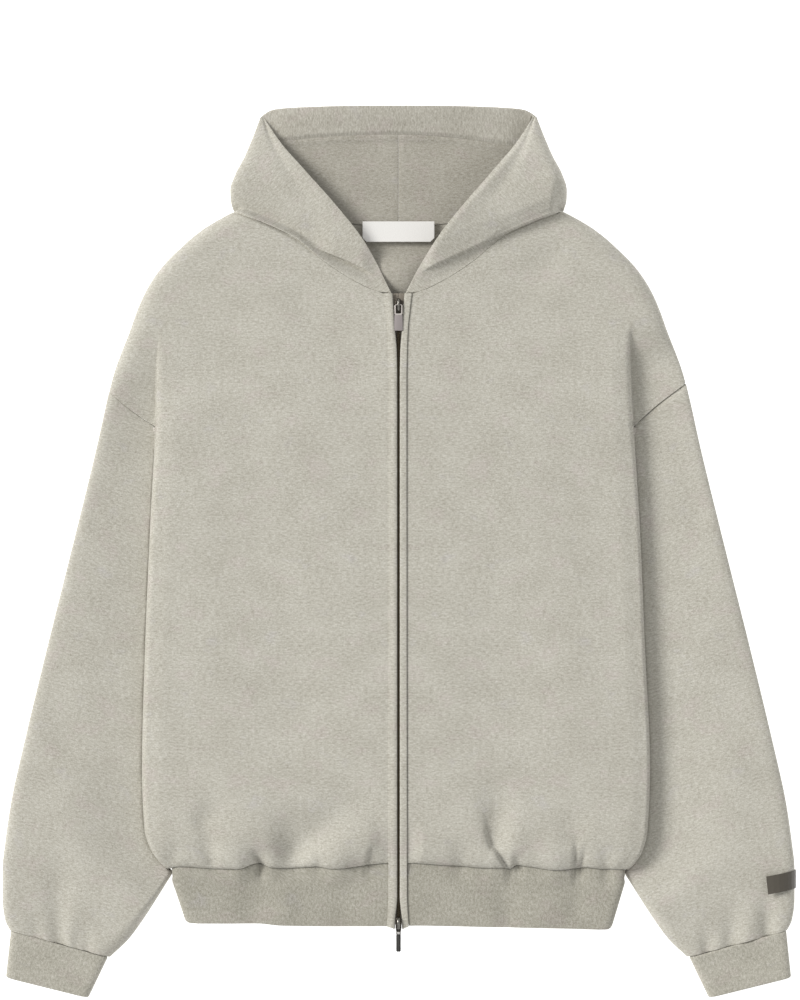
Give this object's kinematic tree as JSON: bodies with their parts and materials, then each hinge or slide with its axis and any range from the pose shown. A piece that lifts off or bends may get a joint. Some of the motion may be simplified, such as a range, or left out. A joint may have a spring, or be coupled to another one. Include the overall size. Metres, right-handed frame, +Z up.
{
  "type": "zip up hoodie",
  "caption": "Oversized hooded zip sweatshirt in heavy heathered fleece, laid flat on its back with its sleeves down and its hood open.",
  "frame": {"origin": "middle of the garment's footprint, on the surface that it lies on", "axes": "+Z up out of the front, +Y towards the hood, +X towards the wearer's left sleeve"},
  "size_m": [0.7946, 0.893, 0.046],
  "materials": {
    "fleece": "heathered grey-beige brushed fleece, matt",
    "rib": "fine rib knit in a slightly darker heather",
    "tape": "dark woven zip tape",
    "teeth": "dark antique metal teeth",
    "slider": "dark gunmetal",
    "top_tab": "matt grey enamel",
    "bottom_tab": "black enamel",
    "label": "smooth woven white ribbon, bare",
    "tag": "satin grey-brown rubber, bare"
  },
  "bodies": {
    "garment": {"front_left": "fleece", "front_right": "fleece", "back_panel": "fleece", "sleeve_left": "fleece", "sleeve_right": "fleece", "hood_left": "fleece", "hood_right": "fleece", "hood_facing": "fleece", "waistband": "rib", "cuff_left": "rib", "cuff_right": "rib", "zip_welt_left": "fleece", "zip_welt_right": "fleece", "zip_tape_left": "tape", "zip_tape_right": "tape", "zip_teeth": "teeth", "slider_top": "slider", "slider_bottom": "slider", "neck_label": "label", "sleeve_tag": "tag"},
    "top_pull": {"pull_top": "top_tab"},
    "bottom_pull": {"pull_bottom": "bottom_tab"}
  },
  "joints": [
    {"name": "top_pull_hinge", "type": "hinge", "parent": "garment", "child": "top_pull", "pos_m": [0, 0.2455, 0.0299], "axis": [-1, 0, 0], "range_deg": [0, 150]},
    {"name": "bottom_pull_hinge", "type": "hinge", "parent": "garment", "child": "bottom_pull", "pos_m": [0, -0.3719, 0.0206], "axis": [-1, 0, 0], "range_deg": [0, 150]}
  ]
}
